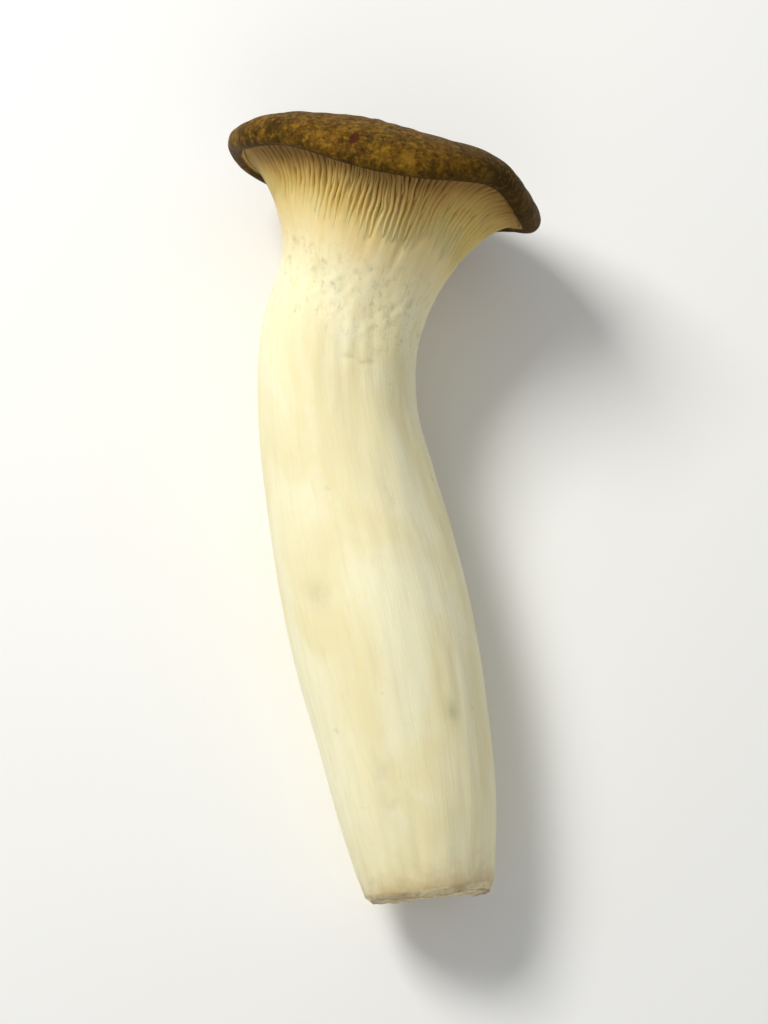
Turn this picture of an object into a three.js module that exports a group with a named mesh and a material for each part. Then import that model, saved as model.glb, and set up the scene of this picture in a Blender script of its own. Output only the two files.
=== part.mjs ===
// A king oyster mushroom as picked, lying on its side: a thick pale stem with a cut foot, gills that
// run down onto the stem, and a shallow cap with a rolled margin. It grew as one piece, so it is one solid.
// Millimetres, +Z up. The stem runs along +Y from the cut foot to the cap, with +X to the right.
// Angles go round the stem and the cap alike, from 0 at the right (+X) and a quarter turn at the top (+Z).
import * as THREE from "three";

const QUARTER = Math.PI / 2;
const UP = new THREE.Vector3(0, 0, 1);

// Stem: how far its centre line lies to the side and above the table, and its radius, every STATION_STEP
const STATION_STEP = 15;
const STATIONS = [
  { side: 9.4, height: 13.6, radius: 11.6 },
  { side: 7.3, height: 15.1, radius: 14.4 },
  { side: 4.8, height: 16.1, radius: 16.0 },
  { side: 1.7, height: 16.8, radius: 17.1 },
  { side: -1.8, height: 17.3, radius: 17.2 },
  { side: -5.2, height: 18.8, radius: 16.2 },
  { side: -7.7, height: 21.2, radius: 14.9 },
  { side: -6.9, height: 23.7, radius: 14.5 },
  { side: -0.4, height: 26.4, radius: 14.0 },
];
// The stem isn't quite round: shares of its radius that turn slowly along its length
const STEM_LOBES = [
  { lobes: 2, size: 0.016, phase: 0.9, turn: 0.5 },
  { lobes: 3, size: 0.012, phase: -0.7, turn: -0.8 },
  { lobes: 5, size: 0.006, phase: 0, turn: 1.3 },
];

// Foot: where it was cut from the bed, with a small worn edge and a slightly uneven face
const FOOT_EDGE_STATION = 0.09;
const CUT_RINGS = [0.94, 0.66, 0.34];
const CUT_UNEVEN = [
  { lobes: 1, size: 0.5, phase: 0.8, turn: 0 },
  { lobes: 3, size: 0.35, phase: 2.1, turn: 2.4 },
];

// Cap: a shallow dome over a circle that stands upright and is turned a little to the right
const CAP_CENTRE = new THREE.Vector3(1.0, 132.3, 28.6);
const CAP_TURN = THREE.MathUtils.degToRad(11.5);
const CAP_RADIUS = 29.6;
const DOME_RISE = 7.6;
const DOME_POWER = 2.1;
const DOME_WAVES = [
  { lobes: 1, size: 0.03, phase: 2.0, turn: 0 },
  { lobes: 3, size: 0.025, phase: -1.0, turn: 0 },
];

// Margin: a rolled lip that turns in underneath, a little out of round and waved along the cap's axis
const LIP_WIDTH = 1.9;
const LIP_DROP = 2.3;
const LIP_ROLL = THREE.MathUtils.degToRad(140);
const MARGIN_LOBES = [
  { lobes: 2, size: 0.012, phase: 0.6, turn: 0 },
  { lobes: 3, size: 0.01, phase: 2.0, turn: 0 },
  { lobes: 5, size: 0.006, phase: 0.4, turn: 0 },
  { lobes: 9, size: 0.004, phase: 1.0, turn: 0 },
];
const MARGIN_WAVES = [
  { lobes: 3, size: 0.35, phase: 1.0, turn: 0 },
  { lobes: 5, size: 0.25, phase: 2.4, turn: 0 },
  { lobes: 8, size: 0.15, phase: 0, turn: 0 },
];
const MARGIN_LIFTS = [
  { at: THREE.MathUtils.degToRad(36), width: THREE.MathUtils.degToRad(16), rise: 0.6 },
  { at: 0, width: THREE.MathUtils.degToRad(25), rise: -2.5 },
  { at: THREE.MathUtils.degToRad(92), width: THREE.MathUtils.degToRad(32), rise: -3.6 },
  { at: Math.PI, width: THREE.MathUtils.degToRad(34), rise: 1 },
];
const LIFT_POWER = 5;

// Flare: the surface that leaves the stem along its length and reaches the lip across the cap
const FLARE_STATION = 7.1;
const FLARE_STATION_SKEW = -0.17;
const FLARE_ALONG_STEM = 29;
const FLARE_ACROSS_CAP = 13;
const FLARE_ACROSS_SKEW = 0.55;
// Small steps along the stem and over the flare, which its directions are measured across
const STATION_STEP_SMALL = 0.02;
const FLARE_STEP_SMALL = 0.002;

// Gills: ridges on the flare, from just inside the lip down to where each one dies away
const GILL_COUNT = 108;
const GILL_DEPTH = 1.6;
const GILL_DEPTH_SPREAD = 0.3;
const GILL_LOWEST_END = 0.3;
const GILL_END_SPREAD = 0.22;
const GILL_FADE = 0.34;
const GILL_TOP_FADE = 0.08;
const GILL_SWAY = THREE.MathUtils.degToRad(6.8);
const GILL_SWAY_TURNS = 1.3;

// Weight on the table presses the stem's belly and the cap's margin flat where they touch
const PRESSED = 0.35;

// How finely the skin is divided
const COLUMNS = 72;
const GILL_COLUMNS = 2 * GILL_COUNT;
const DOME_ROWS = 9;
const LIP_ROWS = 4;
const GILL_ROWS = [0.965, 0.92, 0.86, 0.79, 0.715, 0.64, 0.565, 0.49, 0.42, 0.35, 0.28];
const NECK_ROWS = [0.2, 0.1];
const STEM_ROWS = 16;

const NAME = "king_oyster_mushroom";
const FLESH = new THREE.Color(0xeee4c4);
const FLESH_ROUGHNESS = 0.68;
const TINTS = {
  cap: new THREE.Color(0x9a7a52),
  gills: new THREE.Color(0xe2c79a),
  stem: new THREE.Color(0xffffff),
};

// The sum of a few waves round the stem or cap, each of which may turn as it goes along
function waves(list, angle, along = 0) {
  return list.reduce((sum, w) => sum + w.size * Math.cos(w.lobes * angle + w.phase + w.turn * along), 0);
}

function smoothstep(low, high, value) {
  return THREE.MathUtils.smoothstep(value, low, high);
}

// A repeatable number from 0 to 1 for each whole number
function scatter(index) {
  const value = Math.sin(index * 12.9898 + 4.1) * 43758.5453;
  return value - Math.floor(value);
}

const stemLine = new THREE.CatmullRomCurve3(
  STATIONS.map((s, i) => new THREE.Vector3(s.side, i * STATION_STEP, s.height)),
  false,
  "catmullrom",
);
const stemRadii = new THREE.CatmullRomCurve3(
  STATIONS.map((s) => new THREE.Vector3(s.radius, 0, 0)),
  false,
  "catmullrom",
);

// The stem's direction at a station, and the directions across it to the right and up
function stemAxes(station) {
  const along = stemLine.getTangent(station / (STATIONS.length - 1));
  const right = along.clone().cross(UP).normalize();
  return { along, right, up: right.clone().cross(along) };
}

// A point of the stem: share is 0 on its centre line and 1 on its skin
function stemPoint(station, angle, share = 1) {
  const { right, up } = stemAxes(station);
  const at = station / (STATIONS.length - 1);
  const reach = share * stemRadii.getPoint(at).x * (1 + waves(STEM_LOBES, angle, station));
  return stemLine
    .getPoint(at)
    .addScaledVector(right, reach * Math.cos(angle))
    .addScaledVector(up, reach * Math.sin(angle));
}

// A point of the cut face, whose rings get smaller towards the middle
function cutPoint(angle, share) {
  const uneven = share * waves(CUT_UNEVEN, angle, share);
  return stemPoint(0, angle, share).addScaledVector(stemAxes(0).along, uneven);
}

const capAxis = new THREE.Vector3(Math.sin(CAP_TURN), Math.cos(CAP_TURN), 0);
const capRight = capAxis.clone().cross(UP).normalize();
const capUp = capRight.clone().cross(capAxis);

function capOutward(angle) {
  return new THREE.Vector3()
    .addScaledVector(capRight, Math.cos(angle))
    .addScaledVector(capUp, Math.sin(angle));
}

// How far the margin is lifted along the cap's axis, towards the crown
function marginLift(angle) {
  return MARGIN_LIFTS.reduce((sum, lift) => {
    const away = Math.atan2(Math.sin(angle - lift.at), Math.cos(angle - lift.at));
    return sum + lift.rise * Math.exp(-((away / lift.width) ** 2));
  }, waves(MARGIN_WAVES, angle));
}

// A point of the cap at a radius from its axis and a height along it
function capPoint(angle, radius, height, liftShare) {
  const reach = radius * (1 + waves(MARGIN_LOBES, angle));
  return CAP_CENTRE.clone()
    .addScaledVector(capOutward(angle), reach)
    .addScaledVector(capAxis, height + liftShare * marginLift(angle));
}

// The dome, from 0 at the cap's widest line to 1 at the crown
function domePoint(angle, share) {
  const out = Math.abs(Math.cos(share * QUARTER)) ** (2 / DOME_POWER);
  const height = DOME_RISE * Math.sin(share * QUARTER) ** (2 / DOME_POWER);
  return capPoint(angle, out * CAP_RADIUS, height * (1 + out * waves(DOME_WAVES, angle)), out ** LIFT_POWER);
}

// The lip, from 0 at the cap's widest line to 1 at its inner edge, where the gills begin
function lipPoint(angle, share) {
  const roll = share * LIP_ROLL;
  return capPoint(angle, CAP_RADIUS - LIP_WIDTH * (1 - Math.cos(roll)), -LIP_DROP * Math.sin(roll), 1);
}

function flareStation(angle) {
  return FLARE_STATION + FLARE_STATION_SKEW * Math.cos(angle);
}

// The flare, from 0 on the stem to 1 at the lip: a cubic that leaves and arrives in set directions
function flarePoint(angle, share) {
  const station = flareStation(angle);
  const start = stemPoint(station, angle);
  const below = stemPoint(station - STATION_STEP_SMALL, angle);
  const leave = start.clone().sub(below).setLength(FLARE_ALONG_STEM);
  const end = lipPoint(angle, 1);
  const arrive = capOutward(angle).setLength(FLARE_ACROSS_CAP * (1 + FLARE_ACROSS_SKEW * Math.cos(angle)));
  const [s2, s3] = [share ** 2, share ** 3];
  return new THREE.Vector3()
    .addScaledVector(start, 2 * s3 - 3 * s2 + 1)
    .addScaledVector(leave, s3 - 2 * s2 + share)
    .addScaledVector(end, 3 * s2 - 2 * s3)
    .addScaledVector(arrive, s3 - s2);
}

// The direction from the flare into the flesh
function flareInward(angle, share) {
  const step = FLARE_STEP_SMALL;
  const round = flarePoint(angle + step, share).sub(flarePoint(angle - step, share));
  const outward = flarePoint(angle, share + step).sub(flarePoint(angle, share - step));
  return round.cross(outward).normalize();
}

// How deep the groove between two gills is
function grooveDepth(gill, share) {
  const end = GILL_LOWEST_END + GILL_END_SPREAD * scatter(gill);
  const depth = GILL_DEPTH * (1 + GILL_DEPTH_SPREAD * (scatter(gill + GILL_COUNT) - 0.5));
  return depth * smoothstep(end, end + GILL_FADE, share) * (1 - smoothstep(1 - GILL_TOP_FADE, 1, share));
}

// Columns of the gilled flare are crests and grooves by turns, and sway together a little
function gillPoint(column, share) {
  const around = (2 * Math.PI * column) / GILL_COLUMNS;
  const sway = GILL_SWAY * share * (1 - share) * Math.sin(2 * Math.PI * GILL_SWAY_TURNS * share + 2 * around);
  const point = flarePoint(around + sway, share);
  if (column % 2 === 0) return point;
  return point.addScaledVector(flareInward(around + sway, share), grooveDepth((column - 1) / 2, share));
}

function ring(columns, tint, pointAt) {
  const turn = (2 * Math.PI) / columns;
  return { points: Array.from({ length: columns }, (_, column) => pointAt(turn * column, column)), tint };
}

// Every ring of the skin, from the crown over the margin and down the gills and the stem to the cut face
function skinRings() {
  const rings = [];
  for (let row = DOME_ROWS - 1; row >= 0; row--)
    rings.push(ring(COLUMNS, TINTS.cap, (angle) => domePoint(angle, row / DOME_ROWS)));
  for (let row = 1; row < LIP_ROWS; row++)
    rings.push(ring(COLUMNS, TINTS.cap, (angle) => lipPoint(angle, row / LIP_ROWS)));
  rings.push(ring(GILL_COLUMNS, TINTS.gills, (angle) => lipPoint(angle, 1)));
  for (const share of GILL_ROWS)
    rings.push(ring(GILL_COLUMNS, TINTS.gills, (_, column) => gillPoint(column, share)));
  for (const share of NECK_ROWS)
    rings.push(ring(COLUMNS, TINTS.stem, (angle) => flarePoint(angle, share)));
  for (let row = 0; row <= STEM_ROWS; row++)
    rings.push(ring(COLUMNS, TINTS.stem, (angle) =>
      stemPoint(THREE.MathUtils.lerp(flareStation(angle), FOOT_EDGE_STATION, row / STEM_ROWS), angle)));
  for (const share of CUT_RINGS)
    rings.push(ring(COLUMNS, TINTS.stem, (angle) => cutPoint(angle, share)));
  return rings;
}

// Rests the point on the table: what would sink below it is pressed flat
function settle(point) {
  point.z = Math.max(point.z - PRESSED, 0);
  return point;
}

// Gathers the skin's points, colours and faces, which all point out of the flesh
class Skin {
  constructor() {
    this.positions = [];
    this.colours = [];
    this.faces = [];
  }

  addPoint(point, tint) {
    this.positions.push(...settle(point).toArray());
    this.colours.push(...tint.toArray());
    return this.positions.length / 3 - 1;
  }

  addRing({ points, tint }) {
    return points.map((point) => this.addPoint(point, tint));
  }

  // Joins a ring to the next one towards the foot. Where one of them has more columns, a corner of the
  // other serves several of them.
  join(near, far) {
    const steps = Math.max(near.length, far.length);
    const at = (loop, i) => Math.round((i * loop.length) / steps) % loop.length;
    for (let i = 0; i < steps; i++) {
      const [nearAt, nearNext] = [at(near, i), at(near, i + 1)];
      const [farAt, farNext] = [at(far, i), at(far, i + 1)];
      if (nearAt !== nearNext) this.faces.push(near[nearAt], near[nearNext], far[farAt]);
      if (farAt !== farNext) this.faces.push(near[nearNext], far[farNext], far[farAt]);
    }
  }

  // Closes the loop with a fan round a middle point, which lies on its crown side or on its foot side
  close(loop, middle, onCrownSide) {
    loop.forEach((point, i) => {
      const next = loop[(i + 1) % loop.length];
      if (onCrownSide) this.faces.push(middle, next, point);
      else this.faces.push(middle, point, next);
    });
  }

  geometry() {
    return new THREE.BufferGeometry()
      .setAttribute("position", new THREE.Float32BufferAttribute(this.positions, 3))
      .setAttribute("color", new THREE.Float32BufferAttribute(this.colours, 3))
      .setIndex(this.faces);
  }
}

function skinGeometry() {
  const skin = new Skin();
  const loops = skinRings().map((loop) => skin.addRing(loop));
  loops.slice(1).forEach((loop, i) => skin.join(loops[i], loop));
  skin.close(loops[0], skin.addPoint(domePoint(0, 1), TINTS.cap), true);
  skin.close(loops.at(-1), skin.addPoint(cutPoint(0, 0), TINTS.stem), false);
  return skin.geometry();
}

// The origin is on the table, under the middle of the mushroom
function centreOnTable(geometry) {
  geometry.computeBoundingBox();
  const middle = geometry.boundingBox.getCenter(new THREE.Vector3());
  return geometry.translate(-middle.x, -middle.y, 0);
}

function buildMushroom() {
  const geometry = centreOnTable(skinGeometry());
  geometry.computeVertexNormals();
  const flesh = { color: FLESH, roughness: FLESH_ROUGHNESS, metalness: 0, vertexColors: true };
  const mushroom = new THREE.Mesh(geometry, new THREE.MeshStandardMaterial(flesh));
  mushroom.name = NAME;
  return mushroom;
}

const part = new THREE.Group();
part.add(buildMushroom());

export default part;
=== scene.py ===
"""Dresses a king oyster mushroom that lies on its side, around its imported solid.

The skin and the gills follow one form: a stem along a bent centre line, a shallow dome over a circle,
a lip that rolls in under it, and a flare that joins the stem to the lip. Everything is in metres, +Z up,
with the stem along +Y from its cut foot to the cap. Angles go round from 0 at the right (+X), with a
quarter turn at the top (+Z).
"""

import logging
import math
from collections.abc import Callable, Iterable, Mapping, Sequence
from dataclasses import dataclass, fields
from enum import Enum
from functools import cached_property
from types import MappingProxyType

import bpy
import numpy as np
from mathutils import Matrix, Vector


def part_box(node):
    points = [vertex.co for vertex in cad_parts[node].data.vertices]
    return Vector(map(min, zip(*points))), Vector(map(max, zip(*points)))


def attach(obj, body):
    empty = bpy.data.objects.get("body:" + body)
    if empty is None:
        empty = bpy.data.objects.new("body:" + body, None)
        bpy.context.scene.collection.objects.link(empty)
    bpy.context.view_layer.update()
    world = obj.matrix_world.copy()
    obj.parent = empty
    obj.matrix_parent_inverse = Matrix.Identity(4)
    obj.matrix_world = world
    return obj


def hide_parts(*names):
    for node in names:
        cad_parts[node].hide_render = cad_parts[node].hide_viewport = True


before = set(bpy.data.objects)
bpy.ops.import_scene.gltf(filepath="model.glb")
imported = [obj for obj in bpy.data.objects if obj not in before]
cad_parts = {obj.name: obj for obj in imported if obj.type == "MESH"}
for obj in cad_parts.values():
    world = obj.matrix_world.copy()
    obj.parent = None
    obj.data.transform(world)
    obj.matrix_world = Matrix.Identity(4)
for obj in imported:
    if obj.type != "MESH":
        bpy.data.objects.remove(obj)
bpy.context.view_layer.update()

MM = 0.001
FLESH_RADIUS = 15 * MM  # the stem's usual radius, where patterns and dents are laid on it
NODE = "king_oyster_mushroom"
BODY = "root"
SHADER = "Principled BSDF"
TURN = 2 * math.pi
LOG = logging.getLogger("mushroom")

Array = np.ndarray
Colour = tuple[float, float, float, float]
Settings = Mapping[str, object]
Inputs = Mapping[str | int, object]
NOTHING = MappingProxyType({})


class Slot(Enum):
    """The record's material slot names."""

    STEM = "stem_flesh"
    GILLS = "gill_flesh"


class Zone(Enum):
    """The skin's finishes, in the order of its mesh's material slots."""

    CAP = 0
    FLESH = 1
    CUT = 2


# Form


@dataclass(frozen=True)
class Wave:
    """One wave round the stem or the cap."""

    lobes: int  # how many times it rises round the mushroom
    size: float  # its height
    phase: float  # where it stands, in radians
    turn: float = 0.0  # how far it turns as it goes along, in radians


def ring(count: int) -> Array:
    """Gives evenly spaced angles round."""
    return np.linspace(0.0, TURN, count, endpoint=False)


def turn_from(start: float, angle: Array) -> Array:
    """Gives the turn from a start to some angles, the short way round."""
    return np.angle(np.exp(1j * (angle - start)))


def waves(parts: Sequence[Wave], angle: Array, along: Array | float = 0.0) -> Array:
    """Sums waves.

    Args:
        parts: The waves.
        angle: Angles round, in radians.
        along: Where along its length each angle is taken.

    Returns:
        The sum at each angle.
    """
    return sum(part.size * np.cos(part.lobes * angle + part.phase + part.turn * along) for part in parts)


def unit(vectors: Array) -> Array:
    """Scales each vector to length 1."""
    return vectors / np.linalg.norm(vectors, axis=-1, keepdims=True)


def smooth(low: Array | float, high: Array | float, value: Array | float) -> Array:
    """Rises smoothly from 0 at low to 1 at high."""
    t = np.clip((value - low) / (high - low), 0.0, 1.0)
    return t * t * (3.0 - 2.0 * t)


def join(start: Array, end: Array, leave: Array, arrive: Array, t: Array) -> Array:
    """Follows a cubic curve between two points.

    Args:
        start: Where it starts.
        end: Where it ends.
        leave: Its direction and pull at the start.
        arrive: Its direction and pull at the end.
        t: How far along to read it, from 0 to 1.

    Returns:
        The points.
    """
    return (
        (2 * t**3 - 3 * t**2 + 1) * start
        + (t**3 - 2 * t**2 + t) * leave
        + (3 * t**2 - 2 * t**3) * end
        + (t**3 - t**2) * arrive
    )


def spline(values: Array, at: Array) -> Array:
    """Follows a Catmull-Rom curve through evenly spaced values.

    Args:
        values: One row for each point that the curve goes through.
        at: Where to read it, counted in points from the first.

    Returns:
        One row of values for each place.
    """
    last = len(values) - 1
    at = np.clip(at, 0.0, last)
    first = np.minimum(at.astype(int), last - 1)
    t = (at - first)[..., None]
    padded = np.vstack([2 * values[0] - values[1], values, 2 * values[-1] - values[-2]])
    before, start, end, after = (padded[first + i] for i in range(4))
    return join(start, end, (end - before) / 2, (after - start) / 2, t)


@dataclass(frozen=True)
class StemForm:
    """The stem's skin."""

    step: float = 15.0 * MM  # the distance along Y between stations, in metres
    # Side, height and radius at each station from the cut foot, in millimetres
    stations: tuple[tuple[float, float, float], ...] = (
        (9.4, 13.6, 11.6),
        (7.3, 15.1, 14.4),
        (4.8, 16.1, 16.0),
        (1.7, 16.8, 17.1),
        (-1.8, 17.3, 17.2),
        (-5.2, 18.8, 16.2),
        (-7.7, 21.2, 14.9),
        (-6.9, 23.7, 14.5),
        (-0.4, 26.4, 14.0),
    )
    lobes: tuple[Wave, ...] = (  # what takes it out of round, in shares of its radius
        Wave(2, 0.016, 0.9, 0.5),
        Wave(3, 0.012, -0.7, -0.8),
        Wave(5, 0.006, 0.0, 1.3),
    )
    foot_edge: float = 0.09  # the station of the cut foot's worn edge
    # How the cut face departs from flat, in metres
    cut_uneven: tuple[Wave, ...] = (Wave(1, 0.5 * MM, 0.8), Wave(3, 0.35 * MM, 2.1, 2.4))

    def line(self, station: Array) -> tuple[Array, Array]:
        """Gives the centre line's points and the radii at some stations."""
        found = spline(np.array(self.stations) * MM, station)
        return np.stack([found[..., 0], station * self.step, found[..., 1]], -1), found[..., 2]

    def axes(self, station: Array) -> tuple[Array, Array, Array]:
        """Gives the directions along the stem, and across it to the right and up.

        Args:
            station: Where along the stem, counted in stations.

        Returns:
            The three directions at each.
        """
        small = 1e-3
        along = unit(self.line(station + small)[0] - self.line(station - small)[0])
        right = unit(np.cross(along, (0.0, 0.0, 1.0)))
        return along, right, np.cross(right, along)

    def point(self, station: Array, angle: Array, share: Array | float = 1.0) -> Array:
        """Finds points of the stem.

        Args:
            station: How far along, counted in stations.
            angle: How far round, in radians.
            share: 0 on the centre line and 1 on the skin.

        Returns:
            The points.
        """
        station, angle, share = np.broadcast_arrays(station, angle, share)
        centre, radius = self.line(station)
        _, right, up = self.axes(station)
        reach = (share * radius * (1.0 + waves(self.lobes, angle, station)))[..., None]
        return centre + reach * (np.cos(angle)[..., None] * right + np.sin(angle)[..., None] * up)

    def cut(self, angle: Array, share: Array) -> Array:
        """Finds points of the cut face, from 0 at its middle to 1 at its edge.

        Args:
            angle: Angles round, in radians.
            share: 0 at the face's middle and 1 at its edge.

        Returns:
            The points.
        """
        angle, share = np.broadcast_arrays(angle, share)
        along, _, _ = self.axes(np.zeros_like(angle))
        uneven = share * waves(self.cut_uneven, angle, share)
        return self.point(0.0, angle, share) + uneven[..., None] * along


@dataclass(frozen=True)
class Lift:
    """A stretch of the cap's margin that is lifted towards the crown."""

    at: float  # its middle, in radians
    width: float  # its half-width, in radians
    rise: float  # how far it is lifted, in metres


@dataclass(frozen=True)
class CapForm:
    """The cap's dome and lip."""

    # The middle of its widest line, in metres
    centre: tuple[float, float, float] = (1.0 * MM, 132.3 * MM, 28.6 * MM)
    turn: float = math.radians(11.5)  # how far its axis is turned to the right, in radians
    radius: float = 29.6 * MM  # the widest line's radius
    rise: float = 7.6 * MM  # the crown's height over the widest line
    power: float = 2.1  # the dome's fullness; 2 is an ellipse
    # Shares of the dome's height that swell and sink
    dome_waves: tuple[Wave, ...] = (Wave(1, 0.03, 2.0), Wave(3, 0.025, -1.0))
    lip_width: float = 1.9 * MM  # how wide the lip rolls
    lip_drop: float = 2.3 * MM  # how deep the lip rolls
    lip_roll: float = math.radians(140)  # how far the lip rolls in, in radians
    margin_lobes: tuple[Wave, ...] = (  # what takes the margin out of round, in shares of its radius
        Wave(2, 0.012, 0.6),
        Wave(3, 0.01, 2.0),
        Wave(5, 0.006, 0.4),
        Wave(9, 0.004, 1.0),
    )
    margin_waves: tuple[Wave, ...] = (  # how the margin waves along the axis, in metres
        Wave(3, 0.35 * MM, 1.0),
        Wave(5, 0.25 * MM, 2.4),
        Wave(8, 0.15 * MM, 0.0),
    )
    lifts: tuple[Lift, ...] = (  # the lifted stretches of the margin
        Lift(math.radians(36), math.radians(16), 0.6 * MM),
        Lift(0.0, math.radians(25), -2.5 * MM),
        Lift(math.radians(92), math.radians(32), -3.6 * MM),
        Lift(math.pi, math.radians(34), 1.0 * MM),
    )
    lift_power: float = 5.0  # how fast a lift dies away towards the crown

    @cached_property
    def axis(self) -> Array:
        """The direction from the stem to the crown."""
        return np.array([math.sin(self.turn), math.cos(self.turn), 0.0])

    def outward(self, angle: Array) -> Array:
        """Gives the directions out from the axis at some angles.

        Args:
            angle: Angles round, in radians.

        Returns:
            One direction for each.
        """
        right = unit(np.cross(self.axis, (0.0, 0.0, 1.0)))
        up = np.cross(right, self.axis)
        return np.cos(angle)[..., None] * right + np.sin(angle)[..., None] * up

    def margin_lift(self, angle: Array) -> Array:
        """Gives how far the margin is lifted towards the crown, in metres.

        Args:
            angle: Angles round, in radians.

        Returns:
            The lift at each, in metres.
        """
        total = waves(self.margin_waves, angle)
        for lift in self.lifts:
            total = total + lift.rise * np.exp(-((turn_from(lift.at, angle) / lift.width) ** 2))
        return total

    def point(self, angle: Array, radius: Array, height: Array, lifted: Array | float) -> Array:
        """Finds points at a radius from the axis and a height along it.

        Args:
            angle: How far round, in radians.
            radius: The distance from the axis on a round cap.
            height: The height over the widest line.
            lifted: The share of the margin's lift that applies.

        Returns:
            The points.
        """
        reach = radius * (1.0 + waves(self.margin_lobes, angle))
        up = height + lifted * self.margin_lift(angle)
        return np.array(self.centre) + reach[..., None] * self.outward(angle) + up[..., None] * self.axis

    def dome(self, angle: Array, share: Array) -> Array:
        """Finds points of the dome, from 0 at the widest line to 1 at the crown.

        Args:
            angle: Angles round, in radians.
            share: 0 at the widest line and 1 at the crown.

        Returns:
            The points.
        """
        angle, share = np.broadcast_arrays(angle, share)
        out = np.abs(np.cos(share * math.pi / 2)) ** (2 / self.power)
        height = self.rise * np.sin(share * math.pi / 2) ** (2 / self.power)
        height = height * (1.0 + out * waves(self.dome_waves, angle))
        return self.point(angle, out * self.radius, height, out**self.lift_power)

    def lip(self, angle: Array, share: Array | float) -> Array:
        """Finds points of the lip, from 0 at the widest line to 1 at its inner edge.

        Args:
            angle: Angles round, in radians.
            share: 0 at the widest line and 1 at the inner edge.

        Returns:
            The points.
        """
        angle, share = np.broadcast_arrays(angle, share)
        roll = share * self.lip_roll
        radius = self.radius - self.lip_width * (1.0 - np.cos(roll))
        return self.point(angle, radius, -self.lip_drop * np.sin(roll), 1.0)


@dataclass(frozen=True)
class FlareForm:
    """The surface that leaves the stem along its length and reaches the lip across the cap."""

    stem: StemForm
    cap: CapForm
    station: float = 7.1  # where it leaves the stem, on average
    station_skew: float = -0.17  # how much further up it leaves on the right
    along_stem: float = 29.0 * MM  # how strongly it follows the stem's direction, in metres
    across_cap: float = 13.0 * MM  # how strongly it follows the cap's radius
    across_skew: float = 0.55  # how much more it does so on the right

    def start(self, angle: Array) -> Array:
        """Gives the station where it leaves the stem at some angles."""
        return self.station + self.station_skew * np.cos(angle)

    def point(self, angle: Array, share: Array | float) -> Array:
        """Finds its points, from 0 on the stem to 1 at the lip's inner edge.

        Args:
            angle: Angles round, in radians.
            share: 0 on the stem and 1 at the lip's inner edge.

        Returns:
            The points.
        """
        angle, share = np.broadcast_arrays(angle, share)
        small = 0.02
        station = self.start(angle)
        start = self.stem.point(station, angle)
        leave = self.along_stem * unit(start - self.stem.point(station - small, angle))
        end = self.cap.lip(angle, 1.0)
        pull = self.across_cap * (1.0 + self.across_skew * np.cos(angle))
        arrive = pull[..., None] * self.cap.outward(angle)
        return join(start, end, leave, arrive, share[..., None])

    def directions(self, angle: Array, share: Array | float) -> tuple[Array, Array]:
        """Gives the directions round the flare and into the flesh.

        Args:
            angle: Angles round, in radians.
            share: Shares of the flare.

        Returns:
            The two directions at each place.
        """
        small = 2e-3
        around = self.point(angle + small, share) - self.point(angle - small, share)
        outward = self.point(angle, share + small) - self.point(angle, share - small)
        return unit(around), unit(np.cross(around, outward))


@dataclass(frozen=True)
class GillField:
    """How the gills run over the flare."""

    depth: float = 1.25 * MM  # how deep the floor between them lies under their crests, in metres
    lowest: float = 0.4  # the share of the flare where the floor starts to sink, on average
    fade: float = 0.4  # the share over which it sinks to its full depth
    top_fade: float = 0.05  # the share over which it rises again to the lip
    end_waves: tuple[Wave, ...] = (  # how far the floor's lower end wanders round the flare
        Wave(2, 0.03, 0.4),
        Wave(7, 0.03, 1.1),
        Wave(13, 0.03, 2.0),
        Wave(31, 0.025, 0.7),
        Wave(47, 0.03, 2.9),
    )
    sway: float = math.radians(6.8)  # how far the gills lean to and fro together, in radians
    sway_turns: float = 1.3  # how many times they do so from the stem to the lip
    # How far one patch of gills bends back towards the top, above a certain share
    bend: float = math.radians(11)
    bend_at: float = math.radians(73)  # the middle of that patch, in radians
    bend_width: float = math.radians(17)  # its half-width
    bend_share: float = 0.62  # the share of the flare above which it bends

    def floor_depth(self, angle: Array, share: Array) -> Array:
        """Gives how deep the floor lies under the crests.

        Args:
            angle: Angles round, in radians.
            share: Shares of the flare.

        Returns:
            The depth at each place, in metres.
        """
        end = self.lowest + waves(self.end_waves, angle)
        sunk = smooth(end, end + self.fade, share)
        return self.depth * sunk * (1.0 - smooth(1.0 - self.top_fade, 1.0, share))

    def lean(self, angle: Array, share: Array) -> Array:
        """Gives how far a gill has swayed from its own angle, in radians.

        Args:
            angle: Angles round, in radians.
            share: Shares of the flare.

        Returns:
            The turn at each place, in radians.
        """
        swing = np.sin(TURN * self.sway_turns * share + 2 * angle)
        away = turn_from(self.bend_at, angle) / self.bend_width
        past = np.maximum(share - self.bend_share, 0.0) / (1.0 - self.bend_share)
        return self.sway * share * (1.0 - share) * swing + self.bend * np.exp(-(away**2)) * past


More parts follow.
